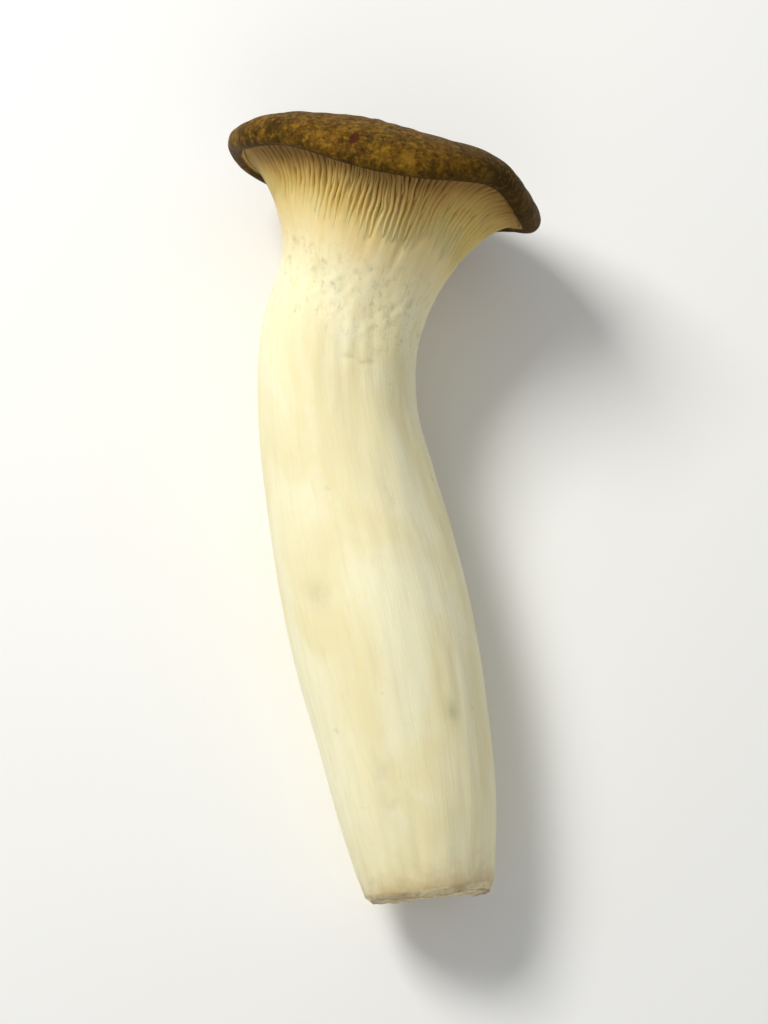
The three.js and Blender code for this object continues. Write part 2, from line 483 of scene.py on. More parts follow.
@dataclass(frozen=True)
class MushroomForm:
    """The whole form, and where it lies in the row frame."""

    stem: StemForm = StemForm()
    cap: CapForm = CapForm()
    gills: GillField = GillField()
    pressed: float = 0.35 * MM  # how far it is pressed down, so that it rests on small flats
    samples: int = 72  # how many angles are read where it is measured
    places: int = 60  # how many places along each skin are read to find its middle
    steps: int = 65  # how many places along the flare are read to find its length

    @cached_property
    def flare(self) -> FlareForm:
        """The flare that joins the stem to the cap."""
        return FlareForm(self.stem, self.cap)

    @cached_property
    def shift(self) -> Array:
        """The move that brings the form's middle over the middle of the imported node.

        Returns:
            The move along each axis.
        """
        angle = ring(self.samples)[:, None]
        share = np.linspace(0.0, 1.0, self.places)[None, :]
        skins = [self.cap.dome(angle, share), self.cap.lip(angle, share), self.stem.cut(angle, share)]
        skins.append(self.stem.point(self.stem.foot_edge + share * (self.flare.station - 1), angle))
        points = np.concatenate([skin.reshape(-1, 3) for skin in skins])
        low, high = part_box(NODE)
        middle = np.array((low + high) / 2) - (points.min(0) + points.max(0)) / 2
        return np.array([middle[0], middle[1], -self.pressed])

    def flare_path(self, share: Array) -> Array:
        """Gives the mean distance from the neck up to a share of the flare, in metres.

        Args:
            share: Shares of the flare.

        Returns:
            The distance at each.
        """
        steps = np.linspace(0.0, 1.0, self.steps)
        points = self.flare.point(ring(self.samples)[None, :], steps[:, None])
        lengths = np.linalg.norm(np.diff(points, axis=0), axis=-1).mean(1)
        return np.interp(share, steps, np.concatenate([[0.0], np.cumsum(lengths)]))

    def stem_path(self, angle: Array, station: Array) -> Array:
        """Gives the distance from the neck to a station of the stem, which is below zero."""
        return (station - self.flare.start(angle)) * self.stem.step

    def place(self, points: Array) -> Array:
        """Moves points to the row frame, and presses flat what would sink below the surface it lies on.

        Args:
            points: The points, as the form gives them.

        Returns:
            The placed points.
        """
        placed = points + self.shift
        placed[..., 2] = np.maximum(placed[..., 2], 0.0)
        return placed


# Meshes


def add_object(name: str, data: bpy.types.ID) -> bpy.types.Object:
    """Adds an object to the scene.

    Args:
        name: Its name.
        data: Its mesh, light or camera.

    Returns:
        The object.
    """
    made = bpy.data.objects.new(name, data)
    bpy.context.scene.collection.objects.link(made)
    return made


def mesh_object(name: str, points: Array, faces: Sequence[Sequence[int]]) -> bpy.types.Object:
    """Makes an object at the origin from points and faces, smoothly shaded.

    Args:
        name: The object's and the mesh's name.
        points: One row for each vertex, in the row frame.
        faces: The corners of each face.

    Returns:
        The object, linked to the scene.
    """
    mesh = bpy.data.meshes.new(name)
    mesh.from_pydata(points.reshape(-1, 3).tolist(), [], faces)
    mesh.shade_smooth()
    return add_object(name, mesh)


def write_attribute(mesh: bpy.types.Mesh, name: str, values: Array) -> None:
    """Stores a number or a vector for each vertex.

    Args:
        mesh: The mesh.
        name: The attribute's name.
        values: One row for each vertex.
    """
    kind, part = ("FLOAT_VECTOR", "vector") if values.ndim == 2 else ("FLOAT", "value")
    stored = mesh.attributes.new(name, kind, "POINT")
    stored.data.foreach_set(part, np.ascontiguousarray(values, np.float32).ravel())


def grain(angle: Array, path: Array) -> Array:
    """Gives the place that fibrous patterns read, on a straight cylinder along which the fibres run.

    Args:
        angle: Angles round, in radians.
        path: Distances from the neck along the skin.

    Returns:
        One row for each point.
    """
    angle, path = np.broadcast_arrays(angle, path)
    around = FLESH_RADIUS * np.cos(angle), FLESH_RADIUS * np.sin(angle)
    return np.stack([*around, path], -1).reshape(-1, 3)


@dataclass(frozen=True)
class Unevenness:
    """Soft relief made of many seeded waves, which closes on itself round the skin."""

    seed: int  # the seed of its random draw
    size: float  # its usual height, in metres
    lobes: tuple[int, int]  # the fewest and most waves round
    pitch: tuple[float, float]  # the shortest and longest wave along, in metres
    count: int = 28

    def at(self, angle: Array, path: Array) -> Array:
        """Gives its height at some angles and distances along.

        Args:
            angle: Angles round, in radians.
            path: Distances from the neck along the skin.

        Returns:
            The height at each point.
        """
        draw = np.random.default_rng(self.seed)
        total = np.zeros(np.broadcast(angle, path).shape)
        for _ in range(self.count):
            lobes = draw.integers(self.lobes[0], self.lobes[1] + 1)
            pitch = draw.uniform(*self.pitch) * draw.choice((-1.0, 1.0))
            total += np.cos(lobes * angle + TURN * path / pitch + draw.uniform(0.0, TURN))
        return self.size * total * math.sqrt(2.0 / self.count)


@dataclass(frozen=True)
class Dent:
    """A small hollow in the skin, which is also stained."""

    angle: float  # where it is round the mushroom, in degrees
    path: float  # how far it is from the neck along the skin, in millimetres
    wide: float  # its half-width round, in millimetres
    long: float  # its half-length along, in millimetres
    depth: float  # how deep it is, in millimetres
    stain: float = 0.5  # how dark it is, from 0 to 1

    def at(self, angle: Array, path: Array, radius: float) -> Array:
        """Gives how much of it is felt at some angles and distances, from 0 to 1.

        Args:
            angle: Angles round, in radians.
            path: Distances from the neck, in metres.
            radius: The skin's usual radius there, in metres.

        Returns:
            The share at each point.
        """
        away = turn_from(math.radians(self.angle), angle) * radius / (self.wide * MM)
        along = (path - self.path * MM) / (self.long * MM)
        return np.exp(-(away**2) - along**2)


@dataclass
class Stretch:
    """A run of the skin's rows, from the crown's side to the foot's."""

    zone: Zone
    points: Array  # its points by row and column, before any relief
    path: Array  # how far each point lies from the neck along the skin, in metres
    relief: Array  # how far each point stands out from the plain form, in metres
    masks: dict[str, Array | float]  # what the finishes read, by name, where it isn't the usual value


@dataclass
class Skin:
    """The skin of the whole mushroom in one closed mesh, with a floor sunk under the gills."""

    MASKS = {"crown": 0.0, "under": 1.0, "flare": 0.0, "foot": 0.0, "cut": 0.0, "mark": 0.0}

    form: MushroomForm
    columns: int = 224
    dome_rows: int = 70
    lip_rows: int = 18
    flare_rows: int = 76
    stem_rows: int = 168
    cut_rows: int = 28
    worn_edge: float = 0.97  # the share of the cut face where its worn edge begins
    stem_relief: tuple[Unevenness, ...] = (  # the stem's soft relief: broad swells and long ribs
        Unevenness(11, 0.11 * MM, (3, 9), (45 * MM, 140 * MM)),
        Unevenness(12, 0.035 * MM, (14, 34), (18 * MM, 70 * MM)),
    )
    cap_relief: tuple[Unevenness, ...] = (
        Unevenness(21, 0.16 * MM, (2, 7), (22 * MM, 60 * MM)),
        Unevenness(22, 0.04 * MM, (12, 40), (9 * MM, 40 * MM)),
    )
    neck_relief: tuple[Unevenness, ...] = (  # the pebbled relief of the neck
        Unevenness(41, 0.05 * MM, (16, 60), (1.4 * MM, 5 * MM), 60),
        Unevenness(42, 0.05 * MM, (4, 26), (3 * MM, 10 * MM), 40),
    )
    # The middle and the half-width of the pebbled band, in metres from the neck
    neck_band: tuple[float, float] = (5.0 * MM, 6.5 * MM)
    cut_relief: tuple[Unevenness, ...] = (Unevenness(31, 0.13 * MM, (2, 24), (2.5 * MM, 9 * MM)),)
    dents: tuple[Dent, ...] = (
        Dent(84, 8.2, 0.9, 0.5, 0.2, 0.4),
        Dent(76, 9.6, 0.6, 0.6, 0.16, 0.3),
        Dent(66, 7.4, 0.8, 0.5, 0.12, 0.3),
        Dent(115, 4.9, 1.3, 1.7, 0.2, 0.4),
        Dent(92, 5.4, 0.8, 1.1, 0.18, 0.4),
        Dent(139, 7.8, 1.0, 0.8, 0.16, 0.3),
        Dent(80, -6.8, 1.2, 0.4, 0.22, 0.5),
        Dent(70, -7.6, 0.8, 0.5, 0.2, 0.5),
        Dent(63, -6.9, 1.0, 0.5, 0.16, 0.4),
        Dent(74, -8.6, 2.4, 0.7, -0.12, 0.0),
        Dent(70, -30.0, 1.6, 5.0, 0.15, 0.2),
        Dent(128, -52.0, 2.4, 3.0, 0.22, 0.3),
        Dent(55, -74.0, 1.2, 2.2, 0.2, 0.5),
        Dent(110, -88.0, 1.8, 6.0, 0.2, 0.3),
        Dent(200, -40.0, 2.5, 4.0, 0.25, 0.3),
        Dent(-20, -62.0, 2.0, 3.0, 0.2, 0.4),
    )
    cap_dents: tuple[Dent, ...] = (  # the cap's dents, whose path is from the lip's inner edge
        Dent(101, 7.8, 0.8, 1.5, 0.25, 1.0),
        Dent(97, 5.6, 0.5, 0.6, 0.15, 0.8),
        Dent(105, 10.2, 0.5, 0.5, 0.12, 0.7),
        Dent(60, 12.0, 1.2, 1.0, 0.2, 0.3),
        Dent(140, 11.0, 0.9, 2.0, 0.2, 0.3),
        Dent(215, 14.0, 1.5, 1.3, 0.25, 0.3),
        Dent(-40, 18.0, 1.1, 1.6, 0.25, 0.25),
    )
    crown_calm: float = 0.07  # the share of the dome, from the crown, over which its relief rises
    crown_reach: float = 0.55  # the share of the dome that the crown's mask reaches over
    lip_fade: float = 0.9  # the share of the lip over which the cap's relief fades
    flare_fade: float = 0.45  # the share of the flare over which the neck's relief fades
    foot_fade: float = 0.4  # the station at which the stem's relief has risen from the foot's edge
    foot_reach: float = 0.35  # how far up the stem the foot's mask reaches, in stations
    cut_fade: float = 0.12  # the share of the cut face over which its relief rises from the middle

    @cached_property
    def angle(self) -> Array:
        """The columns' angles, in one row."""
        return ring(self.columns)[None, :]

    def down(self, rows: int) -> Array:
        """Gives each row's share of a stretch, from just past 0 to 1, in one column."""
        return np.linspace(0.0, 1.0, rows + 1)[1:, None]

    def felt(self, dents: Sequence[Dent], path: Array, radius: float) -> tuple[Array, Array]:
        """Gives the depth and the stain of some dents at the grid's points.

        Args:
            dents: The dents.
            path: Each point's distance along the skin.
            radius: The skin's usual radius.

        Returns:
            The depth in metres and the stain, for each point.
        """
        shares = [dent.at(self.angle, path, radius) for dent in dents]
        depth = sum(dent.depth * MM * share for dent, share in zip(dents, shares))
        return depth, np.clip(sum(dent.stain * share for dent, share in zip(dents, shares)), 0.0, 1.0)

    def swell(self, parts: Sequence[Unevenness], path: Array) -> Array:
        """Sums some soft relief at the grid's points."""
        return sum(part.at(self.angle, path) for part in parts)

    def fleshy(self, path: Array) -> Array:
        """Gives the relief of the stem and the flare, with its pebbled band round the neck.

        Args:
            path: Each point's distance along the skin.

        Returns:
            The height at each point.
        """
        middle, half = self.neck_band
        band = np.exp(-(((path - middle) / half) ** 2))
        return self.swell(self.stem_relief, path) + band * self.swell(self.neck_relief, path)

    def cap(self) -> Stretch:
        """Makes the dome and the lip.

        Returns:
            The cap's rows.
        """
        dome, lip = self.down(self.dome_rows), self.down(self.lip_rows)
        top, side = self.form.cap.dome(self.angle, 1.0 - dome), self.form.cap.lip(self.angle, lip)
        points = np.concatenate([top, side])
        steps = np.linalg.norm(np.diff(points, axis=0), axis=-1).mean(1)
        from_lip = np.append(np.cumsum(steps[::-1])[::-1], 0.0)[:, None]
        path = np.broadcast_to(from_lip, points.shape[:2])
        from_crown = np.concatenate([dome, np.ones_like(lip)])
        under = np.concatenate([np.zeros_like(dome), lip])
        depth, mark = self.felt(self.cap_dents, path, self.form.cap.radius)
        risen = smooth(0.0, self.crown_calm, from_crown) * (1.0 - smooth(0.0, self.lip_fade, under))
        relief = self.swell(self.cap_relief, path) * risen - depth
        crown = 1.0 - smooth(0.0, self.crown_reach, from_crown)
        masks = {"crown": crown, "under": under, "flare": 1.0, "mark": mark}
        return Stretch(Zone.CAP, points, path + self.form.flare_path(np.ones(1)), relief, masks)

    def flare(self) -> Stretch:
        """Makes the flare, with its floor between the gills.

        Returns:
            The flare's rows.
        """
        share = np.broadcast_to(1.0 - self.down(self.flare_rows), (self.flare_rows, self.columns))
        _, inward = self.form.flare.directions(self.angle, share)
        sunk = self.form.gills.floor_depth(self.angle, share)
        points = self.form.flare.point(self.angle, share) + sunk[..., None] * inward
        path = self.form.flare_path(share)
        depth, mark = self.felt(self.dents, path, FLESH_RADIUS)
        relief = self.fleshy(path) * (1.0 - smooth(0.0, self.flare_fade, share)) - depth
        return Stretch(Zone.FLESH, points, path, relief, {"flare": share, "mark": mark})

    def stem(self) -> Stretch:
        """Makes the stem from the neck to the cut foot's worn edge.

        Returns:
            The stem's rows.
        """
        edge = self.form.stem.foot_edge
        down = self.down(self.stem_rows)
        station = self.form.flare.start(self.angle) * (1.0 - down) + edge * down
        path = self.form.stem_path(self.angle, station)
        depth, mark = self.felt(self.dents, path, FLESH_RADIUS)
        relief = (self.fleshy(path) - depth) * smooth(edge, self.foot_fade, station)
        masks = {"foot": np.exp(-station / self.foot_reach), "mark": mark}
        return Stretch(Zone.FLESH, self.form.stem.point(station, self.angle), path, relief, masks)

    def cut(self) -> Stretch:
        """Makes the cut face.

        Returns:
            The cut face's rows.
        """
        stem = self.form.stem
        share = self.worn_edge * (1.0 - self.down(self.cut_rows) * (1.0 - 1.0 / self.cut_rows))
        radius = stem.stations[0][2] * MM
        path = self.form.stem_path(self.angle, stem.foot_edge) - (1.0 - share) * radius
        relief = self.swell(self.cut_relief, path) * smooth(0.0, self.cut_fade, share)
        return Stretch(Zone.CUT, stem.cut(self.angle, share), path, relief, {"foot": 1.0, "cut": share})

    def normals(self, points: Array) -> Array:
        """Gives the directions out of the skin at each point of the grid."""
        around = np.roll(points, -1, 1) - np.roll(points, 1, 1)
        return unit(np.cross(around, np.gradient(points, axis=0)))

    def faces(self, rows: int) -> list[tuple[int, ...]]:
        """Joins the rows into faces that point out, with a fan at the crown and at the foot's middle.

        Args:
            rows: How many rows the grid has.

        Returns:
            The corners of each face.
        """
        index = np.arange(rows * self.columns).reshape(rows, self.columns)
        after = np.roll(index, -1, 1)
        quads = np.stack([index[:-1], after[:-1], after[1:], index[1:]], -1).reshape(-1, 4)
        crown, middle = rows * self.columns, rows * self.columns + 1
        fans = [(crown, b, a) for a, b in zip(index[0].tolist(), after[0].tolist())]
        fans += [(middle, a, b) for a, b in zip(index[-1].tolist(), after[-1].tolist())]
        return [tuple(quad) for quad in quads.tolist()] + fans

    def build(self) -> bpy.types.Object:
        """Makes the skin, with the attributes that its finishes read.

        Returns:
            The closed skin.
        """
        stretches = [self.cap(), self.flare(), self.stem(), self.cut()]
        points = np.concatenate([part.points for part in stretches])
        relief = np.concatenate([part.relief for part in stretches])
        grid = self.form.place(points + relief[..., None] * self.normals(points))
        tips = np.stack([self.form.cap.dome(np.zeros(1), np.ones(1))[0], self.form.stem.cut(0.0, 0.0)])
        placed = np.concatenate([grid.reshape(-1, 3), self.form.place(tips)])
        skin = mesh_object("mushroom_skin", placed, self.faces(len(points)))
        self.give_zones(skin.data, stretches)
        path = np.concatenate([part.path for part in stretches])
        tip_paths = np.array([path[0].max(), path[-1].min()])
        along = np.concatenate([grain(self.angle, path), np.outer(tip_paths, (0.0, 0.0, 1.0))])
        write_attribute(skin.data, "grain", along)
        for name, usual in self.MASKS.items():
            found = ((part.masks.get(name, usual), part.points.shape[:2]) for part in stretches)
            values = np.concatenate([np.broadcast_to(mask, shape) for mask, shape in found])
            write_attribute(skin.data, name, np.append(values.ravel(), [values[0, 0], values[-1, 0]]))
        return skin

    def give_zones(self, mesh: bpy.types.Mesh, stretches: Sequence[Stretch]) -> None:
        """Gives each face the finish of its stretch.

        Args:
            mesh: The skin's mesh.
            stretches: Its stretches, from the crown to the foot.
        """
        by_row = np.concatenate([np.full(len(part.points), part.zone.value) for part in stretches])
        fans = [np.full(self.columns, zone.value) for zone in (Zone.CAP, Zone.CUT)]
        zones = np.concatenate([np.repeat(by_row[1:], self.columns), *fans])
        mesh.polygons.foreach_set("material_index", zones.astype(np.int32))


# Node trees


def operator(name: str, swapped: bool = False) -> Callable[["Value", "Value | float"], "Value"]:
    """Makes one of Value's operators.

    Args:
        name: The operation of its Math node.
        swapped: Whether the value stands on the operator's right.

    Returns:
        The operator.
    """

    def apply(value: "Value", other: "Value | float") -> "Value":
        """Adds the Math node."""
        pair = (other, value) if swapped else (value, other)
        return value.graph.math(name, *pair)

    return apply


@dataclass(frozen=True)
class Value:
    """A node's output that takes part in Python arithmetic, which adds Math nodes."""

    graph: "Graph"
    socket: bpy.types.NodeSocket

    __add__ = operator("ADD")
    __radd__ = operator("ADD")
    __sub__ = operator("SUBTRACT")
    __rsub__ = operator("SUBTRACT", swapped=True)
    __mul__ = operator("MULTIPLY")
    __rmul__ = operator("MULTIPLY")
    __truediv__ = operator("DIVIDE")
    __pow__ = operator("POWER")


class Graph:
    """Adds nodes to a tree by their type, settings and sockets."""

    def __init__(self, tree: bpy.types.NodeTree) -> None:
        """Starts on a tree."""
        self.tree = tree

    def raw(self, kind: str, settings: Settings = NOTHING, inputs: Inputs = NOTHING) -> bpy.types.Node:
        """Adds a node.

        Args:
            kind: The node's type.
            settings: Its properties, which are set first.
            inputs: The value or link of each socket, by name or number.

        Returns:
            The node.
        """
        made = self.tree.nodes.new(kind)
        for name, value in settings.items():
            setattr(made, name, value)
        for key, value in inputs.items():
            self.feed(made, key, value)
        return made

    def node(
        self,
        kind: str,
        settings: Settings = NOTHING,
        inputs: Inputs = NOTHING,
        output: str | int = 0,
    ) -> Value:
        """Adds a node as raw() does, and wraps one of its outputs."""
        made = self.raw(kind, settings, inputs)
        return Value(self, self._socket(made.outputs, output))

    def _socket(self, sockets: Iterable[bpy.types.NodeSocket], key: str | int) -> bpy.types.NodeSocket:
        """Finds a socket that is in use.

        Args:
            sockets: A node's inputs or outputs.
            key: Its name, or its number among those in use.

        Returns:
            The socket.
        """
        shown = [socket for socket in sockets if socket.enabled]
        if isinstance(key, int):
            return shown[key]
        return next(socket for socket in shown if socket.name == key)

    def feed(self, node: bpy.types.Node, key: str | int, value: object) -> None:
        """Links a node's socket to a value, or sets it.

        Args:
            node: The node.
            key: The socket's name or number.
            value: The value that it is linked to, or else the setting that it gets.
        """
        socket = self._socket(node.inputs, key)
        if isinstance(value, Value):
            self.tree.links.new(value.socket, socket)
        else:
            socket.default_value = value

    def math(self, operation: str, *values: Value | float) -> Value:
        """Adds a Math node."""
        return self.node("ShaderNodeMath", {"operation": operation}, dict(enumerate(values)))

    def vector(self, operation: str, *values: object) -> Value:
        """Adds a Vector Math node."""
        return self.node("ShaderNodeVectorMath", {"operation": operation}, dict(enumerate(values)))

    def axes(self, vector: Value) -> tuple[Value, Value, Value]:
        """Takes a vector apart."""
        parts = self.raw("ShaderNodeSeparateXYZ", {}, {"Vector": vector})
        return tuple(Value(self, parts.outputs[axis]) for axis in "XYZ")

    def attribute(self, name: str, output: str = "Fac") -> Value:
        """Reads one of the mesh's attributes."""
        return self.node("ShaderNodeAttribute", {"attribute_name": name}, {}, output)

    def place(self) -> Value:
        """Reads the place on the object."""
        return self.node("ShaderNodeTexCoord", {}, {}, "Object")

    def rise(self, value: Value, low: Value | float, high: Value | float) -> Value:
        """Rises smoothly from 0 at low to 1 at high."""
        wanted = {"Value": value, "From Min": low, "From Max": high}
        return self.node("ShaderNodeMapRange", {"interpolation_type": "SMOOTHSTEP"}, wanted)

    def mix(self, share: Value, first: Value | Colour, second: Value | Colour) -> Value:
        """Mixes two colours."""
        wanted = {"Factor": share, "A": first, "B": second}
        return self.node("ShaderNodeMix", {"data_type": "RGBA"}, wanted, "Result")


def shade(red: int, green: int, blue: int) -> Colour:
    """Turns an 8-bit screen colour into Blender's linear one."""
    parts = (part / 255 for part in (red, green, blue))
    return (*(((part + 0.055) / 1.055) ** 2.4 if part > 0.04045 else part / 12.92 for part in parts), 1.0)


def blend(first: Colour, second: Colour, share: float) -> Colour:
    """Mixes two colours."""
    return tuple(a + share * (b - a) for a, b in zip(first, second))


# Gills


@dataclass(frozen=True)
class Strands:
    """A set of thin closed blades that follow a guide surface.

    Every field but the name is an input of the tree that lays them.
    """

    name: str
    count: int
    seed: int  # the seed of their random draws
    segments: int  # how many rows a blade has
    thickness: float  # their thickness at the root, in metres
    rise: float  # how far their crests stand over the guide
    start_least: float  # the least place along the guide where one starts
    length_least: float  # their least length along the guide
    length_most: float  # their greatest length along the guide
    head: float  # the share of the length over which the head tapers
    tail: float  # the share of the length over which the tail tapers
    droop: float = 0.0  # how much lower their crests lie at the tail
    shift: float = 0.0  # how far they are moved round, in spacings
    # How much of that shift is taken back at the tail, where they run into their neighbours
    merge: float = 0.0
    start_most: float = 1.0  # the greatest place along the guide where one starts
    root: float = 2.0 * MM  # how deep their roots lie under the guide
    jitter: float = 0.15  # how far each may stand off its place, in spacings
    wobble: float = 0.08  # how far each wavers to the sides, in spacings
    sides: int = 6  # how many sides a blade has

    def build(
        self,
        guide: bpy.types.Object,
        tree: "StrandTree",
        material: bpy.types.Material,
    ) -> bpy.types.Object:
        """Runs the tree on the guide and keeps its result as a plain mesh.

        Args:
            guide: The surface to follow, which is left as it is.
            tree: The tree that lays the strands.
            material: Their finish.

        Returns:
            The strands, as one object.
        """
        modifier = guide.modifiers.new("strands", "NODES")
        modifier.node_group = tree.tree
        for name, identifier in tree.identifiers.items():
            modifier[identifier] = material if name == tree.MATERIAL else getattr(self, name)
        evaluated = guide.evaluated_get(bpy.context.evaluated_depsgraph_get())
        mesh = bpy.data.meshes.new_from_object(evaluated)
        guide.modifiers.remove(modifier)
        mesh.name = self.name
        return add_object(self.name, mesh)


class StrandTree:
    """The Geometry Nodes tree that lays thin closed blades along the lines of a guide surface.

    The guide has a UV map named "guide": its first number is the share round, its second the place along.
    It also stores the directions round it and into the flesh.
    """

    SOCKETS = {int: "NodeSocketInt", float: "NodeSocketFloat"}
    MATERIAL = "material"
    END = 0.04  # the share of its size that a blade keeps at its two buried ends
    WAVER = 31.0  # how fast a blade wavers, in radians for the whole guide
    LOWEST = 0.4  # the least share of the rise that a blade is given
    WAIST, CREST = 0.9, 0.5  # a blade's width at its root and at its crest, in shares of its thickness

    def __init__(self) -> None:
        """Builds the tree."""
        self.tree = bpy.data.node_groups.new("strands", "GeometryNodeTree")
        self._add_socket("guide", "NodeSocketGeometry")
        kinds = {setting.name: self.SOCKETS.get(setting.type) for setting in fields(Strands)}
        self.identifiers = {name: self._add_socket(name, kind) for name, kind in kinds.items() if kind}
        self.identifiers[self.MATERIAL] = self._add_socket(self.MATERIAL, "NodeSocketMaterial")
        self._add_socket("strands", "NodeSocketGeometry", "OUTPUT")
        self.graph = Graph(self.tree)
        self.given = self.graph.raw("NodeGroupInput")
        self.strand = self._named("strand", "FLOAT")
        self._fill()

    def _add_socket(self, name: str, kind: str, side: str = "INPUT") -> str:
        """Adds an input or output to the tree, and gives its identifier."""
        return self.tree.interface.new_socket(name, in_out=side, socket_type=kind).identifier

    def _input(self, name: str) -> Value:
        """Reads one of the tree's inputs."""
        return Value(self.graph, self.given.outputs[name])

    def _named(self, name: str, kind: str) -> Value:
        """Reads an attribute by its name."""
        return self.graph.node("GeometryNodeInputNamedAttribute", {"data_type": kind}, {"Name": name})

    def _draw(self, low: Value | float, high: Value | float, offset: int) -> Value:
        """Draws a random number for each strand."""
        wanted = {"Min": low, "Max": high, "ID": self.strand, "Seed": self._input("seed") + offset}
        return self.graph.node("FunctionNodeRandomValue", {"data_type": "FLOAT"}, wanted)

    def _sample(self, name: str, place: Value, kind: str = "FLOAT_VECTOR") -> Value:
        """Reads an attribute of the guide at a place of its UV map.

        Args:
            name: The attribute's name.
            place: The place on the UV map.
            kind: The attribute's type.

        Returns:
            The attribute there.
        """
        wanted = {
            "Mesh": self._input("guide"),
            "Value": self._named(name, kind),
            "UV Map": self._named("guide", "FLOAT_VECTOR"),
            "Sample UV": place,
        }
        return self.graph.node("GeometryNodeSampleUVSurface", {"data_type": kind}, wanted)

    def _store(self, shape: Value, name: str, value: Value, kind: str = "FLOAT") -> Value:
        """Stores an attribute for each point of a shape.

        Args:
            shape: The shape.
            name: The attribute's name.
            value: What it holds.
            kind: Its type.

        Returns:
            The shape with the attribute.
        """
        wanted = {"Geometry": shape, "Name": name, "Value": value}
        settings = {"data_type": kind, "domain": "POINT"}
        return self.graph.node("GeometryNodeStoreNamedAttribute", settings, wanted)

    def _blades(self) -> Value:
        """Sets out one straight blade for each strand, all in one place, and makes them real.

        Returns:
            The blades, two metres wide and one metre long.
        """
        graph = self.graph
        wanted = {"Count": self._input("count"), "Offset": (0.0, 0.0, 0.0)}
        line = graph.node("GeometryNodeMeshLine", {}, wanted)
        points = self._store(line, "strand", graph.node("GeometryNodeInputIndex"))
        sizes = {"Radius": 1.0, "Depth": 1.0}
        sizes |= {"Vertices": self._input("sides"), "Side Segments": self._input("segments")}
        blade = graph.node("GeometryNodeMeshCylinder", {"fill_type": "TRIANGLE_FAN"}, sizes)
        placed = graph.node("GeometryNodeInstanceOnPoints", {}, {"Points": points, "Instance": blade})
        return graph.node("GeometryNodeRealizeInstances", {}, {"Geometry": placed})

    def _place(self, down: Value) -> Value:
        """Finds the place on the guide's UV map for a share of each strand's length.

        Args:
            down: The share of a strand's length.

        Returns:
            The place.
        """
        start = self._draw(self._input("start_least"), self._input("start_most"), 0)
        length = self._draw(self._input("length_least"), self._input("length_most"), 1)
        off_line = self._draw(-1.0, 1.0, 2) * self._input("jitter")
        along = start - length * down
        phase = self._draw(0.0, TURN, 3)
        wobble = self.graph.math("SINE", along * self.WAVER + phase) * self._input("wobble")
        beside = self._input("shift") * (1.0 - self._input("merge") * down * down)
        turned = (self.strand + beside + off_line + wobble) / self._input("count")
        around = self.graph.math("FRACT", turned)
        return self.graph.node("ShaderNodeCombineXYZ", {}, {"X": around, "Y": along})

    def _spot(self, place: Value, height: Value, side: Value, down: Value) -> Value:
        """Finds where a blade's point goes, which is never under the surface that the mushroom lies on.

        Args:
            place: The strand's place on the guide's UV map.
            height: The point's height, from 0 at the root to 1 at the crest.
            side: Its place across the blade, from -1 to 1.
            down: Its share of the blade's length.

        Returns:
            The spot.
        """
        graph = self.graph
        head = graph.rise(down, 0.0, self._input("head"))
        tail = graph.rise(1.0 - down, 0.0, self._input("tail"))
        swell = head * tail * (1.0 - self.END) + self.END
        rise = self._input("rise") * self._draw(self.LOWEST, 1.0, 4) - self._input("droop") * down * down
        out = (rise + self._input("root")) * height * swell - self._input("root")
        width = self.WAIST - (self.WAIST - self.CREST) * height
        across = side * self._input("thickness") * width * swell**0.5
        lifted = graph.vector("SCALE", self._sample("inward", place), 0.0 - out)
        moved = graph.vector("SCALE", self._sample("round", place), across)
        spot = graph.vector("ADD", self._sample("position", place), graph.vector("ADD", lifted, moved))
        x, y, z = graph.axes(spot)
        above = graph.math("MAXIMUM", z, 0.0)
        return graph.node("ShaderNodeCombineXYZ", {}, {"X": x, "Y": y, "Z": above})

    def _fill(self) -> None:
        """Adds the nodes."""
        graph = self.graph
        x, side, z = graph.axes(graph.node("GeometryNodeInputPosition"))
        height = x * 0.5 + 0.5
        down = z + 0.5
        place = self._place(down)
        spot = self._spot(place, height, side, down)
        shape = self._store(self._blades(), "height", height)
        shape = self._store(shape, "flare", self._sample("flare", place, "FLOAT"))
        shape = self._store(shape, "grain", self._sample("grain", place), "FLOAT_VECTOR")
        shape = graph.node("GeometryNodeSetPosition", {}, {"Geometry": shape, "Position": spot})
        shape = graph.node("GeometryNodeSetShadeSmooth", {}, {"Geometry": shape})
        wanted = {"Geometry": shape, "Material": self._input(self.MATERIAL)}
        graph.raw("NodeGroupOutput", {}, {"strands": graph.node("GeometryNodeSetMaterial", {}, wanted)})


@dataclass
class Guide:
    """An open surface over the flare, whose lines sway as the gills do."""

    form: MushroomForm
    columns: int = 288
    rows: int = 72

    def build(self) -> bpy.types.Object:
        """Makes the guide, with its directions and its UV map.

        Returns:
            The guide.
        """
        share = np.linspace(0.0, 1.0, self.rows)[:, None]
        around = np.linspace(0.0, 1.0, self.columns)[None, :]
        share, around = np.broadcast_arrays(share, around)
        angle = TURN * around + self.form.gills.lean(TURN * around, share)
        index = np.arange(share.size).reshape(share.shape)
        corners = index[:-1, :-1], index[:-1, 1:], index[1:, 1:], index[1:, :-1]
        quads = np.stack(corners, -1).reshape(-1, 4)
        points = self.form.place(self.form.flare.point(angle, share))
        guide = mesh_object("gill_guide", points, quads.tolist())
        for name, vectors in zip(("round", "inward"), self.form.flare.directions(angle, share)):
            write_attribute(guide.data, name, vectors.reshape(-1, 3))
        write_attribute(guide.data, "grain", grain(angle, self.form.flare_path(share)))
        write_attribute(guide.data, "flare", share.ravel())
        flat = np.stack([around.ravel(), share.ravel()], -1)[quads.ravel()]
        guide.data.uv_layers.new(name="guide").data.foreach_set("uv", flat.astype(np.float32).ravel())
        return guide


# Finishes


